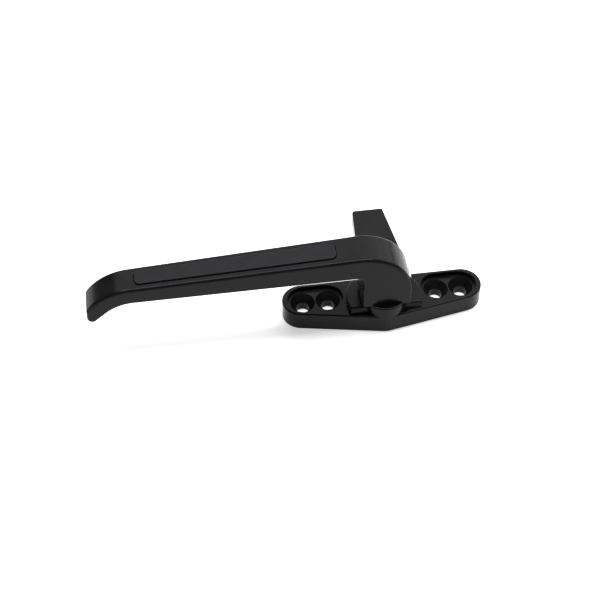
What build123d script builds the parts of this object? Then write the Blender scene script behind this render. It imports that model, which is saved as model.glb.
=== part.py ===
from build123d import *
import math
import os

# Casement window handle with a cockspur nose, closed, lying as it is fixed: the mounting face is Z = 0.
# Origin: middle of the fixing-hole pattern on the mounting face. +X runs along the plate, +Y towards the
# keeper, +Z away from the sash. Every length is in millimetres and every angle in degrees.

# ---------------------------------------------------------------- driving sizes
# screw pockets, which set the plate's length
inner_hole_spacing = 43.0
hole_pitch = 10.0
screw_hole_radius = 2.6
head_seat_radius = 4.85
head_seat_height = 3.6
pocket_width = 12.6
pocket_end_margin = 5.85
pocket_depth = 2.0
pocket_side_wall = 1.35
pocket_end_wall = 2.2
pocket_rim_radius = 0.35

# base plate
plate_thickness = 8.6
rim_radius = 0.6
sole_edge_radius = 0.5
pivot_y = -4.4
boss_rise = 4.4
shoulder_rise = 2.6
shoulder_radius = 14.8
shoulder_front_y = -9.3
shoulder_foot_y = -10.0
shoulder_edge_radius = 0.7
relief_left_x = -6.0
relief_right_x = 13.0
relief_back_y = 5.0

# spindle and its bushes, which with the detent set the boss's radius
journal_radius = 3.5
journal_clearance = 0.04
square_corner_radius = 0.5
square_height = 17.0
socket_clearance = 0.05
socket_headroom = 0.3
spindle_chamfer = 0.3
bush_wall = 1.2
bush_middle_gap = 1.4
upper_flange_thickness = 0.45
lower_flange_thickness = 0.7
flange_rim = 0.86

# detent
detent_inner_web = 1.8
detent_outer_web = 0.54
detent_floor = 1.4
ball_radius = 1.0
ball_standout = -0.35
ball_side_clearance = 0.06
track_clearance = 0.15
dimple_extra = 0.15
spring_coil_radius = 0.72
spring_wire_radius = 0.14
spring_ball_gap = 0.02
spring_turns = 6

# lever
column_right_x = 9.45
column_left_x = -9.6
column_half_width = 7.05
tip_half_width = 5.6
outer_corner_radius = 20.0
column_rise = 26.35
lever_reach = 114.6
top_slope = 2.8
tip_run = 17.6
tip_top_radius = 21.0
tip_top_bend = 58.0
grip_thickness = 10.5
under_slope = 0.9
under_bend_lead = 1.2
tip_under_radius = 16.0
tip_under_bend = 42.0
tip_lip_length = 10.7
tip_corner_radius = 2.0
inner_corner_radius = 3.0
lever_edge_radius = 1.2
foot_gap = 0.5
foot_disc_thickness = 0.6

# grip inlay
inlay_tip_lead = 2.2
inlay_hub_lead = 10.0
inlay_tip_half_width = 3.3
inlay_hub_half_width = 3.8
inlay_corner_radius = 2.0
inlay_thickness = 1.4
inlay_proud = 0.6
inlay_gap = 0.3
inlay_edge_radius = 0.35
tape_thickness = 0.2
tape_margin = 0.6

# cockspur
cockspur_reach = 37.4
cockspur_tip_left_x = -6.1
cockspur_tip_right_x = 6.3
cockspur_root_left_x = -8.5
cockspur_root_right_x = 11.0
cockspur_tip_radius = 1.1
cockspur_edge_radius = 0.6
neck_thickness = 3.2
neck_wall = 0.85
neck_half_width = 5.4
recess_clearance = 0.1
head_start_radius = 17.5
head_swing_clearance = 0.8

# stack under the plate
stack_setback = 0.7
clip_land = 0.85
clip_thickness = 0.8
clip_mouth = 4.6
clip_rim_gap = 0.4
clip_seat_clearance = 0.03
clip_lug_width = 2.4
clip_lug_length = 2.0
clip_lug_angles = (0, 125, 235)
groove_depth = 0.7
thrust_thickness = 0.6
disc_spring_height = 0.9
disc_spring_thickness = 0.35
washer_radius = 6.0
washer_clearance = 0.1
stop_thickness = 1.0
stop_ear_reach = 2.5
stop_ear_half_angle = 12.0
stop_clearance = 0.15
stop_angle_clearance = 0.5
turn_angle = 90.0
flat_depth = 0.5
end_float = 0.05
bore_wall_clearance = 0.6

# grub screw
grub_radius = 2.0
grub_rise = 8.5
grub_hex = 2.0
grub_hex_depth = 1.5
grub_clearance = 0.05
grub_setback = 0.4

# ---------------------------------------------------------------- sizes that follow
pivot = Pos(0, pivot_y, 0)
over = 1.0
pocket_centre_x = inner_hole_spacing / 2 + hole_pitch / 2
hole_steps = (inner_hole_spacing / 2, inner_hole_spacing / 2 + hole_pitch)
hole_xs = [side * step for side in (-1, 1) for step in hole_steps]
arm_radius = pocket_width / 2 + pocket_side_wall
pocket_length = hole_pitch + 2 * pocket_end_margin
arm_end_x = hole_steps[1] + pocket_end_margin + pocket_end_wall
arm_centre_x = arm_end_x - arm_radius
pocket_floor_z = plate_thickness - pocket_depth

bush_inner_radius = journal_radius + journal_clearance
bush_outer_radius = bush_inner_radius + bush_wall
bush_flange_radius = bush_outer_radius + flange_rim
ball_hole_radius = ball_radius + ball_side_clearance
detent_circle_radius = bush_outer_radius + detent_inner_web + ball_hole_radius
boss_radius = detent_circle_radius + ball_hole_radius + detent_outer_web
boss_height = plate_thickness + boss_rise
shoulder_height = plate_thickness + shoulder_rise
ball_centre_z = boss_height + ball_standout

clip_top_z = stack_setback + clip_land + clip_thickness
thrust_top_z = clip_top_z + thrust_thickness
spring_top_z = thrust_top_z + disc_spring_height
stop_top_z = spring_top_z + stop_thickness
bore_depth = stop_top_z + end_float + lower_flange_thickness
bore_radius = washer_radius + bore_wall_clearance
ball_hole_floor_z = bore_depth + detent_floor
bush_length = (boss_height - bore_depth - bush_middle_gap) / 2
stop_ear_radius = washer_radius + stop_ear_reach
clip_groove_radius = journal_radius - groove_depth

foot_z = boss_height + foot_gap
lever_height = foot_z + column_rise
column_back_y = pivot_y + column_half_width
square_side = 2 * journal_radius
square_top_z = foot_z + square_height
socket_top_z = square_top_z + socket_headroom
bend_start_x = tip_run - lever_reach
under_bend_x = bend_start_x + under_bend_lead
inlay_start_x = bend_start_x + inlay_tip_lead
inlay_end_x = column_left_x - inlay_hub_lead
recess_depth_at_inlay = inlay_thickness - inlay_proud + tape_thickness
grub_z = foot_z + grub_rise

neck_radius = square_side / math.sqrt(2) + neck_wall
neck_top_z = foot_z + neck_thickness
head_bottom_z = plate_thickness + head_swing_clearance


def polar(radius, angle):
    """The point at a radius and an angle, from the +X side."""
    return (radius * math.cos(math.radians(angle)), radius * math.sin(math.radians(angle)))


def ring(outer, inner, low, high):
    """A plain ring about the pivot from one height to another."""
    face = Circle(outer) - Circle(inner)
    return pivot * Pos(0, 0, low) * extrude(face, high - low)


def rod(radius, low, high):
    """A plain cylinder about the pivot from one height to another."""
    return pivot * Pos(0, 0, low) * extrude(Circle(radius), high - low)


def square_bar(extra, low, high):
    """The spindle's square, or its hole when extra is more than nothing."""
    side = square_side + 2 * extra
    face = RectangleRounded(side, side, square_corner_radius)
    return pivot * Pos(0, 0, low) * extrude(face, high - low)


def sector(radius, start, end, low, high):
    """A pie slice about the pivot, cut out between two angles less than half a turn apart."""
    far = 3 * radius
    middle = (start + end) / 2
    wedge = make_face(Polyline((0, 0), polar(far, start), polar(far, middle), polar(far, end), close=True))
    return pivot * Pos(0, 0, low) * extrude(wedge & Circle(radius), high - low)


def arc_run(start, radius, first_angle, last_angle):
    """An arc that leaves start along a slope and turns down to another slope, both below level."""
    centre = start - Vector(*polar(radius, 90 + first_angle))
    return CenterArc((centre.X, centre.Y), radius, 90 + first_angle, last_angle - first_angle)


# ---------------------------------------------------------------- base plate
def plate_outline():
    """The three round ends of the plate with a tight band drawn round them."""
    ends = [Pos(side * arm_centre_x, 0) * Circle(arm_radius) for side in (-1, 1)]
    ends.append(Pos(0, pivot_y) * Circle(boss_radius))
    return make_hull([edge for end in ends for edge in end.edges()])


def shoulder():
    """Low round shoulder under the column, with a sloping front and cut straight at the relief."""
    disc = Pos(0, pivot_y) * extrude(Circle(shoulder_radius), shoulder_height)
    corners = [
        (shoulder_foot_y, 0),
        (shoulder_foot_y, plate_thickness),
        (shoulder_front_y, shoulder_height),
        (relief_back_y, shoulder_height),
        (relief_back_y, 0),
    ]
    section = make_face(Polyline(*corners, close=True))
    block = disc & extrude(Plane.YZ * section, shoulder_radius, both=True)
    return fillet(block.faces().sort_by(Axis.Z)[-1].edges(), shoulder_edge_radius)


def detent_track():
    """The round groove that the two balls run in, with a deeper dimple at each quarter turn."""
    radius = ball_radius + track_clearance
    track = Torus(detent_circle_radius, radius)
    for quarter in range(4):
        x, y = polar(detent_circle_radius, quarter * turn_angle)
        track += Pos(x, y, 0) * Sphere(radius + dimple_extra)
    return pivot * Pos(0, 0, ball_centre_z) * track


def base_plate():
    """Die-cast plate: two arms with screw pockets, a low shoulder and a round boss for the spindle."""
    plate = extrude(plate_outline(), plate_thickness)
    relief_size = (relief_right_x - relief_left_x, 2 * arm_radius, 3 * plate_thickness)
    relief_x = (relief_left_x + relief_right_x) / 2
    plate -= Pos(relief_x, relief_back_y + arm_radius, 0) * Box(*relief_size)
    plate = fillet(plate.faces().sort_by(Axis.Z)[-1].edges(), rim_radius)
    plate = fillet(plate.faces().sort_by(Axis.Z)[0].edges(), sole_edge_radius)
    plate += shoulder()
    plate += rod(boss_radius, plate_thickness - rim_radius - over, boss_height)

    for side in (-1, 1):
        slot = SlotOverall(pocket_length, pocket_width)
        plate -= Pos(side * pocket_centre_x, 0, pocket_floor_z) * extrude(slot, pocket_depth + over)
    rims = [
        edge
        for edge in plate.edges()
        if abs(edge.center().Z - plate_thickness) < 0.001
        and abs(edge.center().X) > pocket_centre_x - hole_pitch
        and abs(edge.center().Y) <= pocket_width / 2 + 0.001
    ]
    plate = fillet(rims, pocket_rim_radius)
    for x in hole_xs:
        seat_depth = pocket_floor_z - head_seat_height
        seat = Cone(screw_hole_radius, head_seat_radius, seat_depth)
        plate -= Pos(x, 0, head_seat_height + seat_depth / 2) * seat
        plate -= Pos(x, 0, -over) * extrude(Circle(screw_hole_radius), plate_thickness)

    plate -= rod(bush_outer_radius, -over, boss_height + over)
    plate -= rod(bore_radius, -over, bore_depth)
    swing = turn_angle / 2 + stop_ear_half_angle + stop_angle_clearance
    plate -= sector(stop_ear_radius + stop_clearance, -swing, swing, -over, bore_depth)
    for angle in (0, 180):
        x, y = polar(detent_circle_radius, angle)
        hole = extrude(Circle(ball_hole_radius), boss_height - ball_hole_floor_z + over)
        plate -= pivot * Pos(x, y, ball_hole_floor_z) * hole
    return plate


# ---------------------------------------------------------------- bearings
def upper_bush():
    """Flanged plastic bush in the boss: its flange carries the foot of the lever."""
    sleeve = ring(bush_outer_radius, bush_inner_radius, boss_height - bush_length, boss_height)
    flange_top = boss_height + upper_flange_thickness
    return sleeve + ring(bush_flange_radius, bush_inner_radius, boss_height, flange_top)


def lower_bush():
    """The same bush, let into the bore from underneath."""
    sleeve = ring(bush_outer_radius, bush_inner_radius, bore_depth, bore_depth + bush_length)
    flange_bottom = bore_depth - lower_flange_thickness
    return sleeve + ring(bush_flange_radius, bush_inner_radius, flange_bottom, bore_depth)


# ---------------------------------------------------------------- lever
def side_profile():
    """The lever from the side: foot, rounded outer corner, long grip and turned-down tip."""
    corner = (column_right_x - outer_corner_radius, lever_height - outer_corner_radius)
    crown = CenterArc(corner, outer_corner_radius, 0, 90 + top_slope)
    top_length = ((crown @ 1).X - bend_start_x) / math.cos(math.radians(top_slope))
    bend_start = (crown @ 1) + Vector(*polar(top_length, 180 + top_slope))
    tip_arc = arc_run(bend_start, tip_top_radius, top_slope, tip_top_bend)

    inner_centre = (column_left_x - inner_corner_radius, lever_height - grip_thickness - inner_corner_radius)
    inner_arc = CenterArc(inner_centre, inner_corner_radius, 0, 90 + under_slope)
    under_length = ((inner_arc @ 1).X - under_bend_x) / math.cos(math.radians(under_slope))
    under_end = (inner_arc @ 1) + Vector(*polar(under_length, 180 + under_slope))
    under_arc = arc_run(under_end, tip_under_radius, under_slope, tip_under_bend)
    lip_end = (under_arc @ 1) + Vector(*polar(tip_lip_length, 180 + tip_under_bend))

    outline = [
        Line((column_right_x, foot_z), crown @ 0),
        crown,
        Line(crown @ 1, bend_start),
        tip_arc,
        Line(tip_arc @ 1, lip_end),
        Line(lip_end, under_arc @ 1),
        under_arc,
        Line(under_end, inner_arc @ 1),
        inner_arc,
        Line(inner_arc @ 0, (column_left_x, foot_z)),
        Line((column_left_x, foot_z), (column_right_x, foot_z)),
    ]
    face = make_face(outline)
    ends = [tip_arc @ 1, lip_end]
    tips = [v for v in face.vertices() if min((v.center() - end).length for end in ends) < 0.01]
    return fillet(tips, tip_corner_radius)


def lever_plan():
    """The lever from above: a long taper from the column to the tip."""
    hub_x = column_right_x + over
    tip_x = -lever_reach - 2 * over
    corners = [
        (hub_x, -column_half_width),
        (hub_x, column_half_width),
        (tip_x, tip_half_width),
        (tip_x, -tip_half_width),
    ]
    return pivot * make_face(Polyline(*corners, close=True))


def foot_disc():
    """The thin round foot of the column, which covers the detent track all the way round."""
    return rod(boss_radius, foot_z, foot_z + foot_disc_thickness)


def top_frame():
    """A frame on the lever's sloping top, above the middle of the inlay, with X along the slope."""
    slope = math.radians(top_slope)
    crown_end_x = column_right_x - outer_corner_radius * (1 + math.sin(slope))
    crown_end_z = lever_height - outer_corner_radius * (1 - math.cos(slope))
    middle_x = (inlay_start_x + inlay_end_x) / 2
    middle_z = crown_end_z + (middle_x - crown_end_x) * math.tan(slope)
    x_dir = (math.cos(slope), 0, math.sin(slope))
    z_dir = (-math.sin(slope), 0, math.cos(slope))
    return Plane(origin=(middle_x, pivot_y, middle_z), x_dir=x_dir, z_dir=z_dir)


def inlay_outline(grow):
    """The inlay from above, made larger or smaller all round by grow."""
    half_run = (inlay_end_x - inlay_start_x) / 2 / math.cos(math.radians(top_slope)) + grow
    tip = inlay_tip_half_width + grow
    hub = inlay_hub_half_width + grow
    corners = [(-half_run, -tip), (half_run, -hub), (half_run, hub), (-half_run, tip)]
    face = make_face(Polyline(*corners, close=True))
    return fillet(face.vertices(), inlay_corner_radius + grow)


def grip_inlay():
    """Moulded pad that lies in the grip's recess and stands a little proud."""
    pad = extrude(inlay_outline(0), inlay_thickness)
    pad = fillet(pad.faces().sort_by(Axis.Z)[-1].edges(), inlay_edge_radius)
    return top_frame() * Pos(0, 0, inlay_proud - inlay_thickness) * pad


def inlay_tape():
    """Double-sided tape under the inlay."""
    tape = extrude(inlay_outline(-tape_margin), tape_thickness)
    return top_frame() * Pos(0, 0, -recess_depth_at_inlay) * tape


def grub_bar(radius, front_y, back_y):
    """A round hole or bar along +Y at the grub screw's height."""
    return Pos(0, front_y, grub_z) * Rot(-90, 0, 0) * extrude(Circle(radius), back_y - front_y)


def handle_lever():
    """The long casting: column over the pivot, grip and tip, with a square socket for the spindle."""
    slab = extrude(Plane.XZ.offset(-pivot_y) * side_profile(), 2 * column_half_width, both=True)
    body = slab & extrude(lever_plan(), lever_height + over)
    sides = [face for face in body.faces() if abs(face.normal_at().Y) > 0.9]
    edges = [edge for face in sides for edge in face.edges()]
    body = fillet([e for e in edges if e.bounding_box().max.Z > foot_z + 0.01], lever_edge_radius)
    body += foot_disc()

    recess = Circle(neck_radius + recess_clearance)
    slot_width = 2 * (neck_half_width + recess_clearance)
    recess += Pos(0, column_half_width) * Rectangle(slot_width, 2 * column_half_width)
    head_width = 2 * (cockspur_root_right_x + recess_clearance)
    recess += Pos(0, 1.5 * column_half_width) * Rectangle(head_width, column_half_width)
    recess_height = neck_thickness + recess_clearance
    body -= pivot * Pos(0, 0, foot_z - over) * extrude(recess, recess_height + over)
    body -= square_bar(socket_clearance, foot_z - over, socket_top_z)
    body -= detent_track()
    body -= grub_bar(grub_radius + grub_clearance, pivot_y, column_back_y + over)
    pocket = extrude(inlay_outline(inlay_gap), lever_height)
    return body - top_frame() * Pos(0, 0, -recess_depth_at_inlay) * pocket


# ---------------------------------------------------------------- cockspur
def cockspur():
    """Tapered nose with a square eye: a thin neck over the plate and a deep head that meets the keeper."""
    root_y = column_back_y + recess_clearance
    corners = [
        (cockspur_root_left_x, root_y),
        (cockspur_root_right_x, root_y),
        (cockspur_tip_right_x, cockspur_reach),
        (cockspur_tip_left_x, cockspur_reach),
    ]
    blade = make_face(Polyline(*corners, close=True))
    blade = fillet(blade.vertices().group_by(Axis.Y)[-1], cockspur_tip_radius)
    head = Pos(0, 0, head_bottom_z) * extrude(blade, neck_top_z - head_bottom_z)
    rim = head.faces().sort_by(Axis.Z)[-1].edges()
    rim = [edge for edge in rim if edge.center().Y > root_y + over]
    head = fillet(rim, cockspur_edge_radius)

    step = foot_z - head_bottom_z
    ramp_y = pivot_y + head_start_radius
    under = [
        (root_y - over, head_bottom_z - over),
        (ramp_y, head_bottom_z - over),
        (ramp_y, foot_z - step / 2),
        (ramp_y - step / 2, foot_z),
        (root_y - over, foot_z),
    ]
    section = make_face(Polyline(*under, close=True))
    head -= extrude(Plane.YZ * section, 2 * cockspur_root_right_x, both=True)

    neck = pivot * Circle(neck_radius)
    neck_length = root_y - pivot_y + over
    neck += Pos(0, pivot_y + neck_length / 2) * Rectangle(2 * neck_half_width, neck_length)
    body = head + Pos(0, 0, foot_z) * extrude(neck, neck_thickness)
    body -= square_bar(socket_clearance, foot_z - over, neck_top_z + over)
    return body - detent_track()


# ---------------------------------------------------------------- spindle and what it carries
def spindle():
    """Steel spindle: square in the lever, round in the bushes, two flats for the stop washer, clip groove."""
    bar = rod(journal_radius, stack_setback, foot_z) + square_bar(0, foot_z, square_top_z)
    bar = chamfer(bar.faces().sort_by(Axis.Z)[0].edges(), spindle_chamfer)
    bar -= ring(journal_radius + over, clip_groove_radius, clip_top_z - clip_thickness, clip_top_z)
    for side in (-1, 1):
        flat = Box(4 * journal_radius, flat_depth, 2 * stop_top_z)
        bar -= pivot * Pos(0, side * (journal_radius - flat_depth / 2), 0) * flat
    return bar


def stop_washer():
    """Washer with an ear that swings between the ends of the pocket under the plate, a quarter turn."""
    body = rod(washer_radius, spring_top_z, stop_top_z)
    start = -turn_angle / 2 - stop_ear_half_angle
    end = start + 2 * stop_ear_half_angle
    body += sector(stop_ear_radius, start, end, spring_top_z, stop_top_z)
    across = 2 * (journal_radius - flat_depth + socket_clearance)
    eye = Circle(journal_radius + socket_clearance) & Rectangle(4 * journal_radius, across)
    return body - pivot * extrude(eye, 2 * stop_top_z)


def disc_spring():
    """Coned spring washer that takes up the end float."""
    inner = journal_radius + washer_clearance
    cone = [
        (inner, spring_top_z - disc_spring_thickness),
        (inner, spring_top_z),
        (washer_radius, thrust_top_z + disc_spring_thickness),
        (washer_radius, thrust_top_z),
    ]
    return pivot * revolve(Plane.XZ * make_face(Polyline(*cone, close=True)), Axis.Z)


def thrust_washer():
    """Flat washer between the coned spring and the clip."""
    return ring(washer_radius, journal_radius + washer_clearance, clip_top_z, thrust_top_z)


def retaining_clip():
    """E-clip in the spindle's groove."""
    clip_radius = washer_radius - clip_rim_gap
    face = Circle(clip_radius) - Circle(journal_radius + clip_rim_gap)
    for angle in clip_lug_angles:
        x, y = polar(journal_radius + clip_rim_gap, angle)
        face += Pos(x, y) * Rot(0, 0, angle) * Rectangle(clip_lug_length, clip_lug_width)
    face -= Circle(clip_groove_radius + clip_seat_clearance)
    face -= Pos(-clip_radius, 0) * Rectangle(2 * clip_radius, clip_mouth)
    return pivot * Pos(0, 0, clip_top_z - clip_thickness) * extrude(face, clip_thickness)


def grub_screw():
    """Socket set screw that bears on the spindle's square and holds the lever down."""
    end_y = column_back_y - grub_setback
    screw = grub_bar(grub_radius, pivot_y + square_side / 2, end_y)
    socket = extrude(RegularPolygon(grub_hex / 2, 6, major_radius=False), grub_hex_depth + over)
    return screw - Pos(0, end_y - grub_hex_depth, grub_z) * Rot(-90, 0, 0) * socket


# ---------------------------------------------------------------- detent
def detent_ball(angle):
    """Steel ball that clicks into the dimples of the lever's foot."""
    x, y = polar(detent_circle_radius, angle)
    return pivot * Pos(x, y, ball_centre_z) * Sphere(ball_radius)


def detent_spring(angle):
    """Coil spring that pushes a ball up out of its blind hole."""
    x, y = polar(detent_circle_radius, angle)
    low = ball_hole_floor_z + spring_wire_radius
    reach = ball_radius + spring_wire_radius + spring_ball_gap
    high = ball_centre_z - math.sqrt(reach ** 2 - spring_coil_radius ** 2)
    coil = Helix((high - low) / spring_turns, high - low, spring_coil_radius)
    wire = Plane(origin=coil @ 0, z_dir=coil % 0) * Circle(spring_wire_radius)
    return pivot * Pos(x, y, low) * sweep(wire, path=coil)


# ---------------------------------------------------------------- write every piece
pieces = {
    "base_plate": base_plate(),
    "upper_bush": upper_bush(),
    "lower_bush": lower_bush(),
    "handle_lever": handle_lever(),
    "grip_inlay": grip_inlay(),
    "inlay_tape": inlay_tape(),
    "cockspur": cockspur(),
    "spindle": spindle(),
    "spindle_grub_screw": grub_screw(),
    "stop_washer": stop_washer(),
    "disc_spring": disc_spring(),
    "thrust_washer": thrust_washer(),
    "retaining_clip": retaining_clip(),
    "detent_ball_left": detent_ball(180),
    "detent_ball_right": detent_ball(0),
    "detent_spring_left": detent_spring(180),
    "detent_spring_right": detent_spring(0),
}

os.makedirs("parts", exist_ok=True)
for name, shape in pieces.items():
    export_step(shape, "parts/" + name + ".step")
    box = shape.bounding_box()
    print(name, round(shape.volume, 1), [round(v, 1) for v in (*box.min, *box.max)])
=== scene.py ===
# %% [markdown]
# # A cockspur handle for a casement window
#
# This lesson dresses one small piece of window hardware: a black die-cast handle whose nose pulls the
# sash against its frame. The solids come ready made and exact, so the lesson is about finish: how a
# coated casting, a moulded inlay, plated steel and spring steel differ, and how light shows it.
#
# Everything is in metres. +X runs along the fixing plate, +Y points at the keeper and +Z away from the
# sash. The plate's mounting face is Z = 0.

# %% Load the solids
import math

import bpy
from mathutils import Matrix, Vector

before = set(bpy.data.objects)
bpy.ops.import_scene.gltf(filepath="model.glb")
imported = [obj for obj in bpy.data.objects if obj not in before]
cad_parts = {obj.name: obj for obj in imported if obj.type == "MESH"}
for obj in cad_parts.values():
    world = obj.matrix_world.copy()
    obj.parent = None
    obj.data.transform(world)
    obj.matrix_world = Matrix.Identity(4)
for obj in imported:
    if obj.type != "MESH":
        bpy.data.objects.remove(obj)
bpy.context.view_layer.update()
MM = 0.001

# %% [markdown]
# ## Starting a finish
#
# Every finish here is a small node tree that ends in one Principled shader. What is the same all over a
# surface (how metallic it is, its index of refraction) is typed on the shader itself. Only what varies
# across the surface is wired in, because a wire costs render time and is easier to lose in an export.

# %% A new finish
def new_finish(name, colour, roughness, metallic=0.0, specular=0.5):
    """A node material that starts as one plain shader."""
    finish = bpy.data.materials.new(name)
    finish.use_nodes = True
    shader = finish.node_tree.nodes["Principled BSDF"]
    shader.inputs["Base Color"].default_value = (*colour, 1.0)
    shader.inputs["Roughness"].default_value = roughness
    shader.inputs["Metallic"].default_value = metallic
    shader.inputs["Specular IOR Level"].default_value = specular
    return finish


def shader_of(finish):
    """The finish's Principled shader."""
    return finish.node_tree.nodes["Principled BSDF"]


def join(finish, output, target):
    """Wire one socket to another."""
    finish.node_tree.links.new(output, target)


print("a finish starts with", len(new_finish("trial", (0, 0, 0), 0.5).node_tree.nodes), "nodes")
bpy.data.materials.remove(bpy.data.materials["trial"])

# %% [markdown]
# ## Grain, colour and relief
#
# Paint, plastic and steel all differ from a flat colour in the same three ways: a fine relief that
# breaks up reflections, a roughness that changes from place to place, and a colour that drifts a
# little. Each could be a picture wrapped round the part, but pictures need unwrapped meshes and blur
# close up. Noise measured in the part's own millimetres has neither trouble, so a grain size is given
# here as the real width of one bump. Most of the noise lies between 0.3 and 0.7, so a colour or a
# roughness is spread over that part of it.

# %% Grain
PATTERN_LOW = 0.3
PATTERN_HIGH = 0.7


def place_on(finish):
    """Where a point lies on the part, in metres."""
    return finish.node_tree.nodes.new("ShaderNodeTexCoord").outputs["Object"]


def grain(finish, width, detail=2.0, stretch=(1.0, 1.0, 1.0)):
    """Noise whose bumps are about as wide as width, in metres."""
    nodes = finish.node_tree.nodes
    scaled = nodes.new("ShaderNodeMapping")
    scaled.inputs["Scale"].default_value = [s / width for s in stretch]
    join(finish, place_on(finish), scaled.inputs["Vector"])
    noise = nodes.new("ShaderNodeTexNoise")
    noise.inputs["Scale"].default_value = 1.0
    noise.inputs["Detail"].default_value = detail
    join(finish, scaled.outputs["Vector"], noise.inputs["Vector"])
    return noise.outputs["Fac"]


def vary_roughness(finish, pattern, smooth, rough):
    """Roughness that follows a pattern between two values."""
    spread = finish.node_tree.nodes.new("ShaderNodeMapRange")
    spread.inputs["From Min"].default_value = PATTERN_LOW
    spread.inputs["From Max"].default_value = PATTERN_HIGH
    spread.inputs["To Min"].default_value = smooth
    spread.inputs["To Max"].default_value = rough
    join(finish, pattern, spread.inputs["Value"])
    join(finish, spread.outputs["Result"], shader_of(finish).inputs["Roughness"])


def vary_colour(finish, pattern, dark, light):
    """Colour that follows a pattern from dark to light."""
    blend = finish.node_tree.nodes.new("ShaderNodeValToRGB")
    blend.color_ramp.elements[0].position = PATTERN_LOW
    blend.color_ramp.elements[0].color = (*dark, 1.0)
    blend.color_ramp.elements[1].position = PATTERN_HIGH
    blend.color_ramp.elements[1].color = (*light, 1.0)
    join(finish, pattern, blend.inputs["Fac"])
    join(finish, blend.outputs["Color"], shader_of(finish).inputs["Base Color"])


def add_relief(finish, pattern, depth):
    """Bumps as deep as depth, in metres, on top of any that are there already."""
    bump = finish.node_tree.nodes.new("ShaderNodeBump")
    bump.inputs["Distance"].default_value = depth
    bump.inputs["Strength"].default_value = 1.0
    normal = shader_of(finish).inputs["Normal"]
    if normal.is_linked:
        join(finish, normal.links[0].from_socket, bump.inputs["Normal"])
    join(finish, pattern, bump.inputs["Height"])
    join(finish, bump.outputs["Normal"], normal)


print("grain helpers ready")

# %% [markdown]
# ## Black coating
#
# The lever, the nose and the plate are zinc castings with a black stoved coating. It is satin, not
# matt: flat faces look charcoal because they mirror the room faintly, edges catch a soft bright line,
# and surfaces seen edge-on go almost white. A near-black colour with a low roughness gives the crisp
# reflections. The specular level is kept low, so a face looked at squarely stays dark and only a
# grazing one brightens. The coating dries with a faint ripple about a millimetre wide, called orange
# peel, and carries a much finer tooth, so both go in as relief.

# %% Coating
COAT_DARK = (0.0046, 0.0044, 0.0047)
COAT_LIGHT = (0.0066, 0.0062, 0.0066)
COAT_ROUGHNESS = 0.2
COAT_ROUGHNESS_ENDS = (0.18, 0.24)
COAT_SPECULAR = 0.095
PEEL_WIDTH = 1.3 * MM
PEEL_DEPTH = 0.006 * MM
TOOTH_WIDTH = 0.16 * MM
TOOTH_DEPTH = 0.0012 * MM


def black_coating():
    """Satin black coating on a casting."""
    finish = new_finish("black_coating", COAT_DARK, COAT_ROUGHNESS, specular=COAT_SPECULAR)
    vary_colour(finish, grain(finish, 6 * MM, 3.0), COAT_DARK, COAT_LIGHT)
    vary_roughness(finish, grain(finish, 9 * MM, 4.0), *COAT_ROUGHNESS_ENDS)
    add_relief(finish, grain(finish, PEEL_WIDTH, 1.0), PEEL_DEPTH)
    add_relief(finish, grain(finish, TOOTH_WIDTH, 1.0), TOOTH_DEPTH)
    return finish


coating = black_coating()
print("coating nodes:", len(coating.node_tree.nodes))

# %% [markdown]
# ## Inlay
#
# The strip let into the grip is a moulded plastic that feels softer than the coating. It is a shade
# bluer and duller. The mould was spark-eroded, which leaves an even, very fine grain.

# %% Inlay finish
INLAY_COLOUR = (0.007, 0.007, 0.009)
INLAY_DARK = (0.0058, 0.0058, 0.0072)
INLAY_LIGHT = (0.0080, 0.0080, 0.0095)
INLAY_ROUGHNESS = 0.32
INLAY_ROUGHNESS_ENDS = (0.28, 0.35)
INLAY_SPECULAR = 0.12
SPARK_WIDTH = 0.22 * MM
SPARK_DEPTH = 0.005 * MM


def moulded_inlay():
    """Fine-grained black moulding."""
    finish = new_finish("moulded_inlay", INLAY_COLOUR, INLAY_ROUGHNESS, specular=INLAY_SPECULAR)
    vary_colour(finish, grain(finish, 4 * MM), INLAY_DARK, INLAY_LIGHT)
    vary_roughness(finish, grain(finish, 7 * MM, 3.0), *INLAY_ROUGHNESS_ENDS)
    add_relief(finish, grain(finish, SPARK_WIDTH, 2.0), SPARK_DEPTH)
    return finish


inlay_finish = moulded_inlay()
print("inlay nodes:", len(inlay_finish.node_tree.nodes))

# %% [markdown]
# ## Steel, spring steel, bush and tape
#
# Underneath sits the stack that keeps the handle tight. The spindle and washers are turned and zinc
# plated, so they show faint rings about the spindle's axis. The clip, the cone spring and the grub
# screw are blackened. The balls are ground bright. The bushes are cream nylon and the tape is a dull
# foam film.

# %% Hidden finishes
def plated_steel():
    """Turned steel under bright zinc."""
    finish = new_finish("plated_steel", (0.55, 0.56, 0.57), 0.3, metallic=1.0)
    vary_colour(finish, grain(finish, 2.5 * MM, 3.0), (0.48, 0.49, 0.50), (0.62, 0.62, 0.62))
    vary_roughness(finish, grain(finish, 1.5 * MM, 3.0), 0.24, 0.40)
    add_relief(finish, grain(finish, 0.12 * MM, 1.0, (1, 1, 0.15)), 0.002 * MM)
    return finish


def black_steel():
    """Oil-blackened spring steel."""
    finish = new_finish("black_steel", (0.05, 0.05, 0.055), 0.42, metallic=0.9)
    vary_colour(finish, grain(finish, 1.2 * MM, 3.0), (0.035, 0.034, 0.036), (0.075, 0.072, 0.07))
    vary_roughness(finish, grain(finish, 0.9 * MM, 3.0), 0.34, 0.52)
    add_relief(finish, grain(finish, 0.1 * MM, 2.0), 0.003 * MM)
    return finish


def bright_steel():
    """Ground and polished ball steel."""
    finish = new_finish("bright_steel", (0.72, 0.73, 0.74), 0.08, metallic=1.0)
    vary_roughness(finish, grain(finish, 0.4 * MM), 0.06, 0.12)
    return finish


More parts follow.
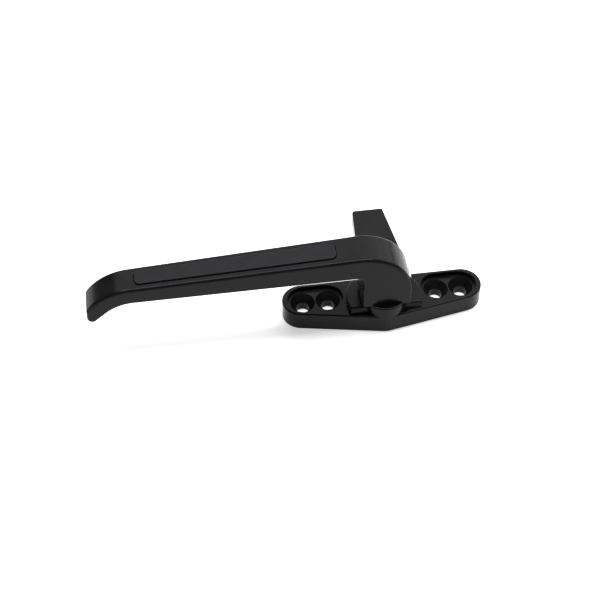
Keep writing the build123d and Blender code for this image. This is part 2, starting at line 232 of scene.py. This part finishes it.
def cream_nylon():
    """Natural nylon, slightly translucent."""
    finish = new_finish("cream_nylon", (0.62, 0.58, 0.48), 0.42)
    vary_colour(finish, grain(finish, 2 * MM), (0.58, 0.54, 0.44), (0.66, 0.62, 0.53))
    add_relief(finish, grain(finish, 0.3 * MM), 0.004 * MM)
    return finish


def foam_tape():
    """Dull adhesive film."""
    finish = new_finish("foam_tape", (0.11, 0.11, 0.10), 0.8)
    vary_colour(finish, grain(finish, 0.5 * MM), (0.09, 0.09, 0.08), (0.14, 0.14, 0.13))
    add_relief(finish, grain(finish, 0.25 * MM), 0.02 * MM)
    return finish


plated, blackened, ground = plated_steel(), black_steel(), bright_steel()
nylon, tape = cream_nylon(), foam_tape()
print("finishes:", sorted(m.name for m in bpy.data.materials if m.use_nodes))

# %% [markdown]
# ## Dressing the solids
#
# The solids already have the right shape, so each keeps its mesh and is only given its finish.

# %% Give each solid its finish
WEARS = {
    "base_plate": coating,
    "handle_lever": coating,
    "cockspur": coating,
    "grip_inlay": inlay_finish,
    "inlay_tape": tape,
    "upper_bush": nylon,
    "lower_bush": nylon,
    "spindle": plated,
    "stop_washer": plated,
    "thrust_washer": plated,
    "detent_spring_left": plated,
    "detent_spring_right": plated,
    "disc_spring": blackened,
    "retaining_clip": blackened,
    "spindle_grub_screw": blackened,
    "detent_ball_left": ground,
    "detent_ball_right": ground,
}
for piece, finish in WEARS.items():
    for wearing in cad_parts[piece].material_slots:
        wearing.material = finish
print("dressed", len(WEARS), "of", len(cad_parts))

# %% [markdown]
# ## Table and light
#
# A black satin part shows mostly what it mirrors, so each light here is placed for a face that
# mirrors it. The table glows until it is over-bright: its shadow stays faint and the upright faces
# mirror it. A narrow strip overhead draws the line along the upper edges. A wide panel at the back is
# what the flat tops mirror, and a small one to the right is what the rounded crown mirrors. The near
# side of the room is left dark, which gives the dark band under the bright line.

# %% Table
TABLE_SIDE = 4.0
TABLE_GLOW = 0.5
TABLE_DROP = 0.1 * MM


def pale_table():
    """A large square of pale board just under the mounting face."""
    half = TABLE_SIDE / 2
    corners = [(-half, -half, 0), (half, -half, 0), (half, half, 0), (-half, half, 0)]
    mesh = bpy.data.meshes.new("pale_table")
    mesh.from_pydata(corners, [], [(0, 1, 2, 3)])
    board = bpy.data.objects.new("pale_table", mesh)
    board.location.z = -TABLE_DROP
    bpy.context.scene.collection.objects.link(board)
    finish = new_finish("table_board", (0.86, 0.86, 0.86), 0.7, specular=0.2)
    shader_of(finish).inputs["Emission Color"].default_value = (1.0, 1.0, 1.0, 1.0)
    shader_of(finish).inputs["Emission Strength"].default_value = TABLE_GLOW
    mesh.materials.append(finish)
    return board


pale_table()
print("table", TABLE_SIDE, "m square")

# %% Light
ROOM_GLOW = 0.2


def soft_light(name, place, aim, width, depth, brightness):
    """A rectangular soft light whose face has that brightness, whatever its size."""
    lamp = bpy.data.lights.new(name, "AREA")
    lamp.shape = "RECTANGLE"
    lamp.size = width
    lamp.size_y = depth
    lamp.energy = brightness * math.pi * width * depth
    light = bpy.data.objects.new(name, lamp)
    light.location = place
    light.rotation_euler = (Vector(aim) - Vector(place)).to_track_quat("-Z", "Y").to_euler()
    bpy.context.scene.collection.objects.link(light)
    return light


soft_light("overhead", (-0.04, 0.08, 0.80), (-0.04, 0.0, 0.0), 0.9, 0.26, 12.0)
soft_light("back", (0.35, 0.85, 0.95), (0.0, 0.0, 0.0), 2.6, 0.85, 2.1)
soft_light("side", (1.05, 0.95, 0.42), (0.0, 0.0, 0.03), 1.3, 0.60, 1.7)

room = bpy.data.worlds.new("room")
room.use_nodes = True
room.node_tree.nodes["Background"].inputs["Color"].default_value = (1.0, 1.0, 1.0, 1.0)
room.node_tree.nodes["Background"].inputs["Strength"].default_value = ROOM_GLOW
bpy.context.scene.world = room
bpy.context.scene.view_settings.view_transform = "Standard"

# %% [markdown]
# ## Camera
#
# The camera stands in front of the plate, half a metre away and well above it, and turned a few
# degrees to the left. A long lens keeps the plate's two ends nearly the same size.

# %% Camera
CAMERA_PLACE = (-0.07591, -0.33309, 0.40081)
CAMERA_TURN = math.radians(-7.4288)
CAMERA_RISE = math.radians(49.4300)
CAMERA_ROLL = math.radians(-0.3953)
LENS = 79.329


def aim_camera():
    """A camera set by its place, its turn about the upright, its rise and its roll."""
    turn, rise = CAMERA_TURN, CAMERA_RISE
    flat = math.cos(rise)
    back = Vector((math.sin(turn) * flat, -math.cos(turn) * flat, math.sin(rise)))
    right = Vector((math.cos(turn), math.sin(turn), 0.0))
    up = back.cross(right)
    rolled_right = math.cos(CAMERA_ROLL) * right + math.sin(CAMERA_ROLL) * up
    rolled_up = math.cos(CAMERA_ROLL) * up - math.sin(CAMERA_ROLL) * right
    camera = bpy.data.objects.new("camera", bpy.data.cameras.new("camera"))
    camera.data.lens = LENS
    camera.data.clip_start = 0.01
    camera.data.clip_end = 20.0
    camera.location = CAMERA_PLACE
    camera.rotation_euler = Matrix((rolled_right, rolled_up, back)).transposed().to_euler()
    bpy.context.scene.collection.objects.link(camera)
    return camera


bpy.context.scene.camera = aim_camera()
print("camera at", CAMERA_PLACE)
